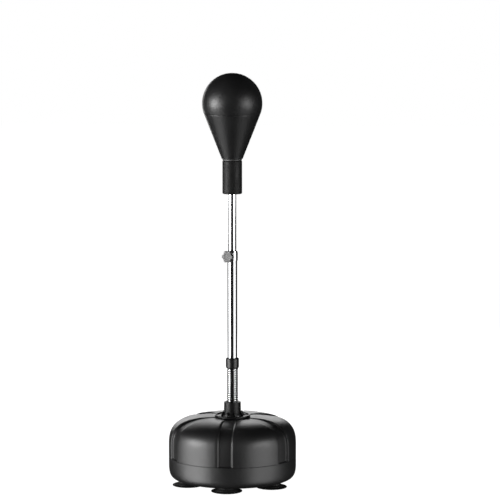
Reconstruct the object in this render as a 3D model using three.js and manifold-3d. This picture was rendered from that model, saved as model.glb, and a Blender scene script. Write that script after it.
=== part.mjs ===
// A free-standing reflex ball for boxing practice: a fillable drum base on six suction cups, a coil
// spring, a telescopic pole with a star-knob clamp, and a teardrop ball on a foam sleeve.
// Millimetres, +Z up, origin on the floor under the pole, front towards -Y.
import * as THREE from "three";
import { mergeVertices } from "three/addons/utils/BufferGeometryUtils.js";
import Module from "manifold-3d";

const wasm = await Module();
wasm.setup();

// Driving dimensions
const GAP = 0.3; // clearance between faces that touch

const TANK = {
  radius: 199, wall: 4, bottom: 12.3, footRadius: 165, footExponent: 3.3, wallLow: 62,
  wallHigh: 113, shoulderExponent: 3.1, top: 204.3, landing: 56.4, seam: 80.7, pillar: 22,
};
const CHANNEL = {
  count: 6, depth: 6, topDepth: 1.8, innerHalfWidth: 14, outerHalfWidth: 21.5, start: 50, bend: 76,
  straight: 111,
};
const FILLER = {
  y: 100, neck: 17, neckTop: 203.5, neckLength: 14, bore: 12, plugDepth: 12, capRadius: 15,
  capHeight: 7, seal: 1.6, sealRadius: 14.6, slotLength: 22, slotWidth: 3,
};
const CUP = { angles: [0, 60, 120, 180, 240, 300], ring: 150.5, lip: 48, lipInner: 42, neck: 28, hollow: 7 };
const STUD = { radius: 3, bottom: 9.2, top: 25, boss: 8 };
const FLANGE = { radius: 55.4, rim: 51.5, rimTop: 211, dish: 207.6, step: 33.1, stepTop: 213.5 };
const GUSSET = { count: 8, thickness: 3.2, near: 22, reach: 37, shoulder: 32, top: 221.6 };
const HUB = { radius: 26.4, rimRadius: 26, top: 251.7, socketFloor: 219, socket: 18.5 };
const HUB_SCREW = {
  angles: [30, 120, 210, 300], ring: 43, radius: 2.6, depth: 15, head: 4.8, headTop: 3.4,
  headHeight: 3, boss: 7, bossDepth: 20,
};
const SPRING = { radius: 14.8, wire: 6.2, bottom: 219.6, top: 375.6, pitch: 6.95 };
const PLUG = { spigot: 10.2, lowerTop: 246, upperBottom: 356, disc: 17.8, tubeLength: 26 };
const PLUG_BOLT = { radius: 4, head: 7.4, headHeight: 5.3, well: 11, wellDepth: 14, end: 250 };
const COLLAR = {
  radius: 20.4, endRadius: 17.2, bottom: 357.6, top: 390.8, chamfer: 3.5, step: 379.3,
  screw: 2.2, screwHeight: 383.3,
};
const LOWER_TUBE = { outer: 15, inner: 13.5, bottom: 379, top: 701.5 };
const UPPER_TUBE = { outer: 12.5, inner: 11.3, bottom: 548, top: 1036 };
const BUSH = { outer: 13.2, inner: 9, length: 22, below: 3 };
const CLAMP = { bottom: 694.1, top: 726.9, radius: 16.9, endRadius: 16.1, screwHeight: 710 };
const KNOB = {
  turn: -19, lobes: 6, radius: 19.2, lobe: 5.4, body: 15.8, back: 26, face: 37, stem: 8.5, cover: 5,
};
const CLAMP_SCREW = {
  radius: 3, padRadius: 2.8, padTip: 12.8, padBack: 15, nutNear: 10, nutFar: 23.4, nutRadius: 7,
};
const SLEEVE = { radius: 30.5, bottom: 903, top: 1006.1, edge: 3, washer: 30 };
const BALL = { radius: 93.3, centre: 1182.6, coneAngle: 21.6, neck: 1011.4, lip: 2.5, skin: 3 };
const BLADDER = { foot: 1050, wall: 1.6 };
const VALVE = { radius: 2.8, length: 12 };
const RETAINER = { disc: 25, discHeight: 3.5, nut: 20, nutHeight: 9, cap: 14.6, capTop: 2 };

// Sides of the polygons that stand for circles
const SIDES = { drum: 36, hollow: 24, part: 24, ball: 28, bladder: 20, cup: 18, screw: 12, hole: 8 };

// Materials
const material = (color, roughness, metalness = 0) =>
  new THREE.MeshStandardMaterial({ color, roughness, metalness });
const blackPlastic = () => material(0x1b1b1c, 0.5);
const blackRubber = () => material(0x111111, 0.75);
const leather = () => material(0x161616, 0.4);
const chrome = () => material(0xd8dadc, 0.12, 1);
const zinc = () => material(0xa9abad, 0.35, 1);
const blackSteel = () => material(0x242526, 0.45, 0.6);
const nylon = () => material(0xe6e4dc, 0.5);

const radians = THREE.MathUtils.degToRad;
const point = (radius, height) => new THREE.Vector2(radius, height);

// A solid of revolution about Z. The profile runs up the outside and ends on the axis or where it began.
function turned(profile, segments = SIDES.part) {
  const points = profile.map(([radius, height]) => point(radius, height));
  return new THREE.LatheGeometry(points, segments).rotateX(Math.PI / 2);
}

// A hollow or solid cylinder about Z between two heights.
function tube(outer, inner, low, high, segments = SIDES.part) {
  if (inner === 0) return turned([[0, low], [outer, low], [outer, high], [0, high]], segments);
  return turned([[inner, low], [outer, low], [outer, high], [inner, high], [inner, low]], segments);
}

// Raises a flat outline from one height to another.
function prism(outline, low, high) {
  const depth = high - low;
  return new THREE.ExtrudeGeometry(outline, { depth, bevelEnabled: false, curveSegments: 3 })
    .translate(0, 0, low);
}

// Turns a geometry about Z, for what repeats round the pole.
const around = (geometry, degrees) => geometry.clone().rotateZ(radians(degrees));

// The place on a ring round the pole, at an angle counted from the front.
const onRing = (radius, degrees) =>
  new THREE.Vector3(radius * Math.sin(radians(degrees)), -radius * Math.cos(radians(degrees)), 0);

// Between three.js geometries and solids that can be joined and cut.
function solid(geometry) {
  const bare = geometry.clone().deleteAttribute("normal").deleteAttribute("uv");
  const merged = mergeVertices(bare, 1e-4);
  const triVerts = merged.index.array;
  const vertProperties = merged.attributes.position.array;
  return new wasm.Manifold(new wasm.Mesh({ numProp: 3, vertProperties, triVerts }));
}
function geometryOf(manifold) {
  const { vertProperties, triVerts } = manifold.getMesh();
  const geometry = new THREE.BufferGeometry();
  geometry.setAttribute("position", new THREE.BufferAttribute(vertProperties, 3));
  geometry.setIndex(new THREE.BufferAttribute(triVerts, 1));
  geometry.computeVertexNormals();
  return geometry;
}
const without = (whole, tools) => tools.reduce((left, tool) => left.subtract(solid(tool)), whole);
const cut = (whole, ...tools) => geometryOf(without(solid(whole), tools));
const joined = (first, ...others) =>
  geometryOf(others.reduce((sum, other) => sum.add(solid(other)), solid(first)));

function named(name, geometry, look) {
  const mesh = new THREE.Mesh(geometry, look);
  mesh.name = name;
  return mesh;
}

// The drum's outline, moved inwards by an inset: flat foot, rounded foot edge, straight wall, rounded
// shoulder and flat landing. A superellipse draws each rounded stretch.
function drumOutline(inset, options = {}) {
  const { landing = TANK.landing, drop = inset, footSteps = 4, shoulderSteps = 6 } = options;
  const { radius, bottom, footRadius, wallLow, wallHigh, top } = TANK;
  const arc = (steps, exponent, from, to) =>
    Array.from({ length: steps + 1 }, (_, i) => {
      const angle = (i / steps) * (Math.PI / 2);
      const along = Math.sin(angle) ** (2 / exponent);
      const up = 1 - Math.cos(angle) ** (2 / exponent);
      return [from[0] + (to[0] - from[0]) * along, from[1] + (to[1] - from[1]) * up];
    });
  const side = radius - inset;
  const foot = arc(footSteps, TANK.footExponent, [footRadius - inset, bottom + inset], [side, wallLow]);
  const shoulder = arc(shoulderSteps, TANK.shoulderExponent, [landing, top - drop], [side, wallHigh]);
  return [...foot, ...shoulder.reverse()];
}

// The plan of one radial channel, pointing to -Y: narrow at the landing, full width on the shoulder.
function channelPlan(margin) {
  const near = CHANNEL.innerHalfWidth + margin;
  const far = CHANNEL.outerHalfWidth + margin;
  const beyond = TANK.radius + 10;
  const plan = new THREE.Shape();
  plan.moveTo(near, -CHANNEL.start);
  plan.quadraticCurveTo(far, -CHANNEL.bend, far, -CHANNEL.straight);
  plan.lineTo(far, -beyond);
  plan.lineTo(-far, -beyond);
  plan.lineTo(-far, -CHANNEL.straight);
  plan.quadraticCurveTo(-far, -CHANNEL.bend, -near, -CHANNEL.start);
  plan.closePath();
  return plan;
}

// What the channels take away from the drum: the plan's prism, outside a floor that lies deeper.
function channelsOutside(floor, margin, low) {
  const step = 360 / CHANNEL.count;
  const prisms = Array.from({ length: CHANNEL.count }, (_, i) =>
    solid(around(prism(channelPlan(margin), low, TANK.top + 5), i * step)));
  return prisms.reduce((sum, one) => sum.add(one)).subtract(floor);
}

// Upright cylinders below each flange screw and above each suction cup, for bosses and for holes.
const underScrews = (radius, depth) => HUB_SCREW.angles.map((angle) => {
  const { x, y } = onRing(HUB_SCREW.ring, angle);
  return tube(radius, 0, TANK.top - depth, TANK.top + 5, SIDES.hole).translate(x, y, 0);
});
const overCups = (radius, high) => CUP.angles.map((angle) => {
  const { x, y } = onRing(CUP.ring, angle);
  return tube(radius, 0, 0, high, SIDES.hole).translate(x, y, 0);
});

function baseTank() {
  const { top, bottom, wall, pillar, seam } = TANK;
  const { y, neck, neckTop, neckLength, plugDepth, bore } = FILLER;
  const closed = (outline) =>
    turned([[0, outline[0][1]], ...outline, [0, outline.at(-1)[1]]], SIDES.drum);
  const hollowed = (inset) => {
    const outline = drumOutline(inset, { footSteps: 2, shoulderSteps: 4 });
    const [low, high] = [outline[0][1], outline.at(-1)[1]];
    return turned([[pillar, low], ...outline, [pillar, high], [pillar, low]], SIDES.hollow);
  };

  // The outside: the drum less its channels, whose floor gets shallow towards the flange, and with
  // the filler's neck standing up out of the rear channel.
  const footPoints = 5;
  const channelFloor = drumOutline(CHANNEL.depth, { landing: CHANNEL.start, drop: CHANNEL.topDepth });
  const floor = turned([
    [0, bottom], ...drumOutline(0).slice(0, footPoints), ...channelFloor.slice(footPoints),
    [CHANNEL.start, top], [0, top],
  ], SIDES.drum);
  const fillerNeck = tube(neck, 0, neckTop - neckLength, neckTop).translate(0, y, 0);
  const outside = solid(closed(drumOutline(0)))
    .subtract(channelsOutside(solid(floor), 0, seam)).add(solid(fillerNeck));

  // The hollow keeps one wall thickness under panels and channels alike, and leaves bosses for the
  // flange screws, the filler neck and the suction-cup studs.
  const underChannels = solid(hollowed(CHANNEL.depth + wall));
  const neckWall = tube(neck, 0, neckTop - plugDepth - wall, top).translate(0, y, 0);
  const hollow = without(
    solid(hollowed(wall)).subtract(channelsOutside(underChannels, wall, seam - wall)),
    [...underScrews(HUB_SCREW.boss, HUB_SCREW.bossDepth), ...overCups(STUD.boss, STUD.top + wall),
      neckWall]);

  // Holes: filler, screws, studs and the well for the plug bolt's head.
  const filler = tube(bore + GAP, 0, neckTop - 50, top + 10).translate(0, y, 0);
  const well = tube(PLUG_BOLT.well, 0, top - PLUG_BOLT.wellDepth, top + 5);
  const tank = without(outside.subtract(hollow), [
    filler, well, ...underScrews(HUB_SCREW.radius + GAP, HUB_SCREW.depth + 1),
    ...overCups(STUD.radius + GAP, STUD.top + GAP),
  ]);
  return named("base_tank", geometryOf(tank), blackPlastic());
}

function fillCap() {
  const low = FILLER.neckTop + GAP;
  const foot = low - FILLER.plugDepth;
  const disc = low + FILLER.seal;
  const high = low + FILLER.capHeight;
  const cap = turned([
    [0, foot], [FILLER.bore - 1, foot], [FILLER.bore, foot + 1], [FILLER.bore, disc],
    [FILLER.capRadius, disc], [FILLER.capRadius, high - 1], [FILLER.capRadius - 1, high], [0, high],
  ]);
  const slot = new THREE.BoxGeometry(FILLER.slotLength, FILLER.slotWidth, 3).translate(0, 0, high);
  const mesh = named("fill_cap", cut(cap, slot), blackPlastic());
  mesh.position.y = FILLER.y;
  return mesh;
}

function capGasket() {
  const low = FILLER.neckTop + GAP;
  const ring = tube(FILLER.sealRadius, FILLER.bore + GAP, low, low + FILLER.seal - GAP);
  const mesh = named("cap_gasket", ring, blackRubber());
  mesh.position.y = FILLER.y;
  return mesh;
}

// One suction cup and the stud that holds it in the tank's foot.
function suctionCup(index, angle) {
  const { lip, lipInner, neck, hollow } = CUP;
  const top = TANK.bottom - GAP;
  const hole = STUD.radius + GAP;
  const cup = turned([
    [0, hollow], [neck - 6, hollow - 1.2], [lipInner, 0], [lip, 0], [lip, 1.2],
    [neck + 8, 6.4], [neck + 1, 9], [neck, top], [hole, top], [hole, STUD.bottom - GAP],
    [0, STUD.bottom - GAP],
  ], SIDES.cup);
  const stud = tube(STUD.radius, 0, STUD.bottom, STUD.top, SIDES.hole);
  const group = new THREE.Group();
  group.position.copy(onRing(CUP.ring, angle));
  group.add(named(`suction_cup_${index}`, cup, blackRubber()));
  group.add(named(`cup_stud_${index}`, stud, zinc()));
  return group;
}

// The flange and the cup that the spring stands in, with gussets between them.
function hubSocket() {
  const under = TANK.top + GAP;
  const bore = PLUG_BOLT.radius + GAP;
  const body = turned([
    [bore, under], [FLANGE.radius - 1.5, under], [FLANGE.radius, under + 1.5],
    [FLANGE.radius, FLANGE.rimTop - 1.5], [FLANGE.radius - 1.6, FLANGE.rimTop],
    [FLANGE.rim, FLANGE.rimTop], [FLANGE.rim - 1.5, FLANGE.dish], [FLANGE.step, FLANGE.dish],
    [FLANGE.step - 1, FLANGE.stepTop], [HUB.radius + 0.4, FLANGE.stepTop],
    [HUB.rimRadius, HUB.top - 1], [HUB.rimRadius - 1, HUB.top], [HUB.socket + 0.6, HUB.top],
    [HUB.socket, HUB.top - 1], [HUB.socket, HUB.socketFloor], [bore, HUB.socketFloor], [bore, under],
  ]);
  const { count, thickness, near, reach, shoulder, top } = GUSSET;
  const web = new THREE.Shape([
    point(near, FLANGE.dish - 1), point(reach, FLANGE.dish - 1), point(reach, FLANGE.dish + 1.2),
    point(shoulder, top), point(near, top),
  ]);
  const gusset = prism(web, -thickness / 2, thickness / 2).rotateX(Math.PI / 2);
  const gussets = Array.from({ length: count }, (_, i) => around(gusset, ((i + 0.5) * 360) / count));
  const holes = underScrews(HUB_SCREW.radius + GAP, 2);
  return named("hub_socket", cut(joined(body, ...gussets), ...holes), blackPlastic());
}

function hubScrew(index, angle) {
  const { radius, depth, head, headTop, headHeight, ring } = HUB_SCREW;
  const low = FLANGE.dish + GAP;
  const high = low + headHeight;
  const shank = tube(radius, 0, TANK.top - depth, low + 1, SIDES.hole);
  const pan = turned([[0, low], [head, low], [head, low + 1.4], [headTop, high], [0, high]], 16);
  const mesh = named(`hub_screw_${index}`, joined(shank, pan), zinc());
  mesh.position.copy(onRing(ring, angle));
  return mesh;
}

// The coil spring's centre line climbs one pitch a turn.
class Helix extends THREE.Curve {
  getPoint(t, target = new THREE.Vector3()) {
    const rise = SPRING.top - SPRING.bottom - SPRING.wire;
    const angle = (2 * Math.PI * rise * t) / SPRING.pitch;
    return target.set(SPRING.radius * Math.cos(angle), SPRING.radius * Math.sin(angle),
      SPRING.bottom + SPRING.wire / 2 + rise * t);
  }
}

function spring() {
  const turns = (SPRING.top - SPRING.bottom) / SPRING.pitch;
  const [wireSides, stepsPerTurn] = [5, 8];
  const section = new THREE.Shape(
    Array.from({ length: wireSides }, (_, i) => {
      const angle = (i * 2 * Math.PI) / wireSides;
      return point((SPRING.wire / 2) * Math.cos(angle), (SPRING.wire / 2) * Math.sin(angle));
    }));
  const wire = new THREE.ExtrudeGeometry(section, {
    steps: Math.round(turns * stepsPerTurn), extrudePath: new Helix(), bevelEnabled: false,
  });
  return named("spring", wire, chrome());
}

function lowerSpringPlug() {
  const { spigot, lowerTop } = PLUG;
  const low = HUB.socketFloor + GAP;
  const hole = PLUG_BOLT.radius + GAP;
  const plug = turned([
    [hole, low], [spigot, low], [spigot, lowerTop - 2], [spigot - 2, lowerTop], [hole, lowerTop],
    [hole, low],
  ]);
  return named("lower_spring_plug", plug, blackSteel());
}

function plugBolt() {
  const { radius, head, headHeight, end } = PLUG_BOLT;
  const hexagon = new THREE.CylinderGeometry(head, head, headHeight, 6)
    .rotateX(Math.PI / 2).translate(0, 0, TANK.top - headHeight / 2);
  const shank = tube(radius, 0, TANK.top - 1, end, SIDES.screw);
  return named("plug_bolt", joined(hexagon, shank), zinc());
}

// Joins the spring's top end to the lower tube: a spigot down into the coils and one up into the tube.
function upperSpringPlug() {
  const { spigot, upperBottom, tubeLength } = PLUG;
  const disc = SPRING.top + GAP;
  const discTop = LOWER_TUBE.bottom - GAP;
  const inTube = LOWER_TUBE.inner - GAP;
  const top = discTop + tubeLength;
  const plug = turned([
    [0, upperBottom], [spigot - 2, upperBottom], [spigot, upperBottom + 2], [spigot, disc],
    [PLUG.disc, disc], [PLUG.disc, discTop], [inTube, discTop], [inTube, top - 2], [inTube - 2, top],
    [0, top],
  ]);
  return named("upper_spring_plug", plug, blackSteel());
}

function springCollar() {
  const { radius, endRadius, bottom, top, chamfer, step, screw, screwHeight } = COLLAR;
  const bore = LOWER_TUBE.outer + GAP;
  const body = turned([
    [HUB.socket, bottom], [endRadius + 1.6, bottom], [radius, bottom + chamfer],
    [radius, top - chamfer], [endRadius, top], [bore, top], [bore, step], [HUB.socket, step],
    [HUB.socket, bottom],
  ]);
  const hole = new THREE.CylinderGeometry(screw + GAP, screw + GAP, 12, SIDES.screw)
    .translate(0, radius, screwHeight);
  return named("spring_collar", cut(body, hole), blackPlastic());
}

function collarScrew() {
  const { radius, screw, screwHeight } = COLLAR;
  const length = radius - LOWER_TUBE.outer - 2 * GAP;
  const grub = new THREE.CylinderGeometry(screw, screw, length, SIDES.screw)
    .translate(0, LOWER_TUBE.outer + GAP + length / 2, screwHeight);
  return named("collar_screw", grub, blackSteel());
}

const lowerTube = () => named("lower_tube",
  tube(LOWER_TUBE.outer, LOWER_TUBE.inner, LOWER_TUBE.bottom, LOWER_TUBE.top), chrome());
const upperTube = () => named("upper_tube",
  tube(UPPER_TUBE.outer, UPPER_TUBE.inner, UPPER_TUBE.bottom, UPPER_TUBE.top), chrome());

// A nylon ring at the foot of the upper tube that runs in the lower tube.
function guideBush() {
  const { outer, inner } = BUSH;
  const low = UPPER_TUBE.bottom - BUSH.below;
  const high = low + BUSH.length;
  const seat = UPPER_TUBE.bottom - GAP;
  const bore = UPPER_TUBE.outer + 0.1;
  const bush = turned([
    [inner, low], [outer - 1, low], [outer, low + 1], [outer, high], [bore, high], [bore, seat],
    [inner, seat], [inner, low],
  ]);
  return named("guide_bush", bush, nylon());
}

// The clamp's own frame: +Z points out along its screw, and the origin is on the pole's axis.
function clampFrame() {
  const frame = new THREE.Group();
  frame.rotation.set(Math.PI / 2, 0, radians(KNOB.turn), "ZXY");
  frame.position.z = CLAMP.screwHeight;
  frame.updateMatrix();
  return frame;
}

// The clearance for the clamp's screw, through the ring's wall and its nut.
const screwPath = () => tube(CLAMP_SCREW.radius + GAP, 0, 5, 30, SIDES.screw);

function clampRing() {
  const { bottom, top, radius, endRadius } = CLAMP;
  const lowBore = LOWER_TUBE.outer + GAP;
  const highBore = UPPER_TUBE.outer + GAP;
  const seat = LOWER_TUBE.top + GAP;
  const body = turned([
    [lowBore, bottom], [endRadius, bottom], [radius, bottom + 4], [radius, top - 6], [endRadius, top - 2.5],
    [endRadius - 2.4, top], [highBore, top], [highBore, seat], [lowBore, seat], [lowBore, bottom],
  ]);
  const hole = screwPath().applyMatrix4(clampFrame().matrix);
  return named("clamp_ring", cut(body, hole), chrome());
}

function clampScrewSet() {
  const { radius, padRadius, padTip, padBack, nutNear, nutFar, nutRadius } = CLAMP_SCREW;
  const { lobes, lobe, body, back, face, stem, cover } = KNOB;
  const frame = clampFrame();

  const block = new THREE.CylinderGeometry(nutRadius, nutRadius, nutFar - nutNear, 6)
    .rotateX(Math.PI / 2).translate(0, 0, (nutFar + nutNear) / 2);
  const poleSide = new THREE.CylinderGeometry(CLAMP.radius + GAP, CLAMP.radius + GAP, 60, 32);
  frame.add(named("clamp_nut", cut(block, screwPath(), poleSide), chrome()));

  const studEnd = face - cover;
  frame.add(named("clamp_pad", tube(padRadius, 0, padTip, padBack, SIDES.screw), nylon()));
  frame.add(named("clamp_stud", tube(radius, 0, padBack + GAP, studEnd, SIDES.screw), zinc()));

  const round = tube(body, 0, back, face);
  const hub = tube(stem, 0, back - 2, back + 2);
  const tip = tube(lobe, 0, back, face, SIDES.screw).translate(KNOB.radius - lobe, 0, 0);
  const tips = Array.from({ length: lobes }, (_, i) => around(tip, (i * 360) / lobes));
  const socket = tube(radius + GAP, 0, nutFar - 3, studEnd + GAP, SIDES.screw);
  frame.add(named("star_knob", cut(joined(round, hub, ...tips), socket), blackPlastic()));
  return frame;
}

function ballSleeve() {
  const { radius, bottom, top, edge } = SLEEVE;
  const bore = UPPER_TUBE.outer + GAP;
  const soft = edge * 0.3;
  const body = turned([
    [bore, bottom], [radius - edge, bottom], [radius - soft, bottom + soft], [radius, bottom + edge],
    [radius, top - edge], [radius - soft, top - soft], [radius - edge, top], [bore, top], [bore, bottom],
  ]);
  return named("ball_sleeve", body, blackRubber());
}

const neckWasher = () => named("neck_washer",
  tube(SLEEVE.washer, UPPER_TUBE.outer + GAP, SLEEVE.top + GAP, BALL.neck - GAP), blackRubber());

// The teardrop's outline, moved inwards by an inset: a sphere on its tangent cone, cut off at a height.
function teardrop(inset, low, arcSteps = 10) {
  const radius = BALL.radius - inset;
  const cone = radians(BALL.coneAngle);
  const tangentHeight = BALL.centre - radius * Math.sin(cone);
  const foot = [radius * Math.cos(cone) - (tangentHeight - low) * Math.tan(cone), low];
  const arc = Array.from({ length: arcSteps + 1 }, (_, i) => {
    const angle = -cone + (i / arcSteps) * (Math.PI / 2 + cone);
    return [i === arcSteps ? 0 : radius * Math.cos(angle), BALL.centre + radius * Math.sin(angle)];
  });
  return [foot, ...arc];
}

// A round bar that lies along Y and ends at the rear of the ball, for the inflation valve and its hole.
const valveBar = (radius, length) =>
  new THREE.CylinderGeometry(radius, radius, length, SIDES.screw)
    .translate(0, BALL.radius - length / 2, BALL.centre);
const valveHole = () => valveBar(VALVE.radius + GAP, 30).translate(0, 10, 0);

function ballSkin() {
  const { neck, lip, skin } = BALL;
  const bore = UPPER_TUBE.outer + GAP;
  const inside = teardrop(skin, neck + skin).reverse();
  const outside = teardrop(0, neck + lip);
  const foot = [outside[0][0] - lip, neck];
  const shell = turned(
    [foot, ...outside, ...inside, [bore, neck + skin], [bore, neck], foot], SIDES.ball);
  return named("ball_skin", cut(shell, valveHole()), leather());
}

function bladder() {
  const { foot, wall } = BLADDER;
  const arcSteps = 8;
  const inset = BALL.skin + 6 * GAP; // clear of the skin's facets
  const shell = turned([[0, foot], ...teardrop(inset, foot, arcSteps)], SIDES.bladder);
  const air = turned(
    [[0, foot + wall], ...teardrop(inset + wall, foot + wall, arcSteps)], SIDES.bladder);
  return named("bladder", cut(shell, air, valveHole()), blackRubber());
}

function airValve() {
  const facet = BALL.radius * (1 - Math.cos(Math.PI / SIDES.ball));
  const valve = valveBar(VALVE.radius, VALVE.length).translate(0, -facet, 0);
  return named("air_valve", valve, blackRubber());
}

// The disc, nut and cap that hold the ball's neck on the upper tube.
function neckRetainer() {
  const { disc, discHeight, nut, nutHeight, cap, capTop } = RETAINER;
  const bore = UPPER_TUBE.outer + GAP;
  const discLow = BALL.neck + BALL.skin + GAP;
  const nutLow = discLow + discHeight + GAP;
  const nutHigh = nutLow + nutHeight;
  const hexagon = new THREE.CylinderGeometry(nut, nut, nutHeight, 6)
    .rotateX(Math.PI / 2).translate(0, 0, (nutLow + nutHigh) / 2);
  const rim = nutHigh + GAP;
  const under = UPPER_TUBE.top + GAP;
  const crown = under + capTop;
  const lid = turned([
    [bore, rim], [cap, rim], [cap, crown - 1.5], [cap - 2, crown], [0, crown], [0, under],
    [bore, under], [bore, rim],
  ]);
  const group = new THREE.Group();
  group.add(named("neck_disc", tube(disc, bore, discLow, discLow + discHeight), zinc()));
  group.add(named("neck_nut", cut(hexagon, tube(bore, 0, nutLow - 1, nutHigh + 1)), zinc()));
  group.add(named("tube_cap", lid, blackPlastic()));
  return group;
}

// The assembly, from the floor up.
const reflexBall = new THREE.Group();
reflexBall.add(baseTank(), fillCap(), capGasket());
CUP.angles.forEach((angle, i) => reflexBall.add(suctionCup(i + 1, angle)));
reflexBall.add(hubSocket());
HUB_SCREW.angles.forEach((angle, i) => reflexBall.add(hubScrew(i + 1, angle)));
reflexBall.add(lowerSpringPlug(), plugBolt(), spring(), upperSpringPlug());
reflexBall.add(springCollar(), collarScrew(), lowerTube(), clampRing(), clampScrewSet());
reflexBall.add(guideBush(), upperTube(), ballSleeve(), neckWasher());
reflexBall.add(ballSkin(), bladder(), airValve(), neckRetainer());

export default reflexBall;
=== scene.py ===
from math import asin, ceil, cos, pi, radians, sin, sqrt, tan

import bmesh
import bpy
import numpy as np
from mathutils import Euler, Matrix, Vector


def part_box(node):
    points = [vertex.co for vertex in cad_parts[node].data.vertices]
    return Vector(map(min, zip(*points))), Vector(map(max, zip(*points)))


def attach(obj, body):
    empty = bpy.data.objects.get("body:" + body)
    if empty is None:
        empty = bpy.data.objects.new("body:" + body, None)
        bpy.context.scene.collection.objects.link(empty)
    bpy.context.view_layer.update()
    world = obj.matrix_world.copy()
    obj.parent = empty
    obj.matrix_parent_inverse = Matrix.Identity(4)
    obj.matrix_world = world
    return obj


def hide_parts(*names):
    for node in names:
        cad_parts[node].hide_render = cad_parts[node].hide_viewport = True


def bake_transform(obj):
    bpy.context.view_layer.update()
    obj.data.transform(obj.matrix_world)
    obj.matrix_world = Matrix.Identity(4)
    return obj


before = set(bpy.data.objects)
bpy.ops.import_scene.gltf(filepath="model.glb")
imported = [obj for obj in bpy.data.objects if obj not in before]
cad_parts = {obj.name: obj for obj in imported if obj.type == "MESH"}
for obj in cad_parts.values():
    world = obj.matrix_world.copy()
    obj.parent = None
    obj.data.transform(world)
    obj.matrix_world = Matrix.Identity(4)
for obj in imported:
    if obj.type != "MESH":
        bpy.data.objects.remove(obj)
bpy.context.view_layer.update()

mm = 0.001


# --- Camera ---------------------------------------------------------------------------------------
# A long portrait lens almost seven metres back, a little above the ball and a little right of front.
# It looks slightly down, and slightly past the pole, which leaves room on the pole's right.

CAMERA_AWAY = 6880 * mm
CAMERA_HEIGHT = 1494 * mm
CAMERA_ROUND = radians(6.8)
CAMERA_DOWN = radians(6.354)
CAMERA_PAST_POLE = radians(0.457)
FOCAL_LENGTH = 160.7
SENSOR = 36.0
FARTHEST_SEEN = 60.0

lens = bpy.data.cameras.new("portrait_lens")
lens.sensor_width = SENSOR
lens.lens = FOCAL_LENGTH
lens.clip_end = FARTHEST_SEEN
camera = bpy.data.objects.new("camera", lens)
camera.location = (CAMERA_AWAY * sin(CAMERA_ROUND), -CAMERA_AWAY * cos(CAMERA_ROUND), CAMERA_HEIGHT)
camera.rotation_euler = (pi / 2 - CAMERA_DOWN, 0.0, CAMERA_ROUND - CAMERA_PAST_POLE)
bpy.context.scene.collection.objects.link(camera)
bpy.context.scene.camera = camera


# --- Studio ---------------------------------------------------------------------------------------
# A white seamless floor and backdrop, a low and a high soft box at each side, and a panel behind.
# The room itself is dim, so that black plastic stays black between the boxes' reflections.

bpy.context.scene.view_settings.view_transform = "Standard"

world = bpy.data.worlds.new("studio_room")
bpy.context.scene.world = world
world.use_nodes = True
room = world.node_tree
room.nodes.clear()
ROOM_LIGHT = (0.02, 0.02, 0.02, 1.0)
BACKDROP = (1.0, 1.0, 1.0, 1.0)
dim = room.nodes.new("ShaderNodeBackground")
dim.inputs["Color"].default_value = ROOM_LIGHT
bright = room.nodes.new("ShaderNodeBackground")
bright.inputs["Color"].default_value = BACKDROP
seen = room.nodes.new("ShaderNodeLightPath")
either = room.nodes.new("ShaderNodeMixShader")
sky = room.nodes.new("ShaderNodeOutputWorld")
room.links.new(seen.outputs["Is Camera Ray"], either.inputs["Fac"])
room.links.new(dim.outputs["Background"], either.inputs[1])
room.links.new(bright.outputs["Background"], either.inputs[2])
room.links.new(either.outputs["Shader"], sky.inputs["Surface"])


def soft_box(name, round_pole, away, low, high, width, radiance, beam=180.0):
    """An upright rectangular light that faces the pole. round_pole is counted from the camera's side,
    to the right; beam is the angle that it shines into."""
    panel = bpy.data.lights.new(name, "AREA")
    panel.shape = "RECTANGLE"
    panel.size, panel.size_y = width, high - low
    panel.energy = radiance * pi * panel.size * panel.size_y
    panel.spread = radians(beam)
    light = bpy.data.objects.new(name, panel)
    turn = CAMERA_ROUND + radians(round_pole)
    light.location = (away * sin(turn), -away * cos(turn), (low + high) / 2)
    light.rotation_euler = Euler((pi / 2, 0.0, turn))
    bpy.context.scene.collection.objects.link(light)
    return light


soft_box("left_low_box", -69, 2.6, -2.0, 0.7, 2.5, 4.6)
soft_box("right_low_box", 56, 2.6, -2.0, 0.7, 2.5, 2.3)
soft_box("left_high_box", -70, 2.6, 0.6, 1.9, 2.5, 3.7, 50.0)
soft_box("right_high_box", 58, 2.6, 0.6, 1.9, 2.4, 1.45, 50.0)
soft_box("back_panel", -172, 3.2, 0.4, 1.9, 2.6, 2.6)

FLOOR_SIZE = 40.0
floor_mesh = bpy.data.meshes.new("floor")
corner = FLOOR_SIZE / 2
FLOOR_LEVEL = -0.5 * mm
floor_mesh.from_pydata(
    [(-corner, -corner, FLOOR_LEVEL), (corner, -corner, FLOOR_LEVEL),
     (corner, corner, FLOOR_LEVEL), (-corner, corner, FLOOR_LEVEL)], [], [(0, 1, 2, 3)])
floor = bpy.data.objects.new("floor", floor_mesh)
bpy.context.scene.collection.objects.link(floor)
paper = bpy.data.materials.new("white_paper")
paper.use_nodes = True
paper_shader = paper.node_tree.nodes["Principled BSDF"]
paper_shader.inputs["Base Color"].default_value = (0.3, 0.3, 0.3, 1.0)
paper_shader.inputs["Roughness"].default_value = 0.9
paper_shader.inputs["Emission Color"].default_value = (1.0, 1.0, 1.0, 1.0)
paper_shader.inputs["Emission Strength"].default_value = 1.0
floor_mesh.materials.append(paper)
floor.visible_glossy = False
floor.visible_diffuse = False
floor.visible_shadow = False


# --- Drum -----------------------------------------------------------------------------------------
# One blow-moulded polyethylene tank that its owner fills with water or sand. Six channels pressed
# into the upper half stiffen it; they end at the parting line, where the two halves of the mould met.

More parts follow.
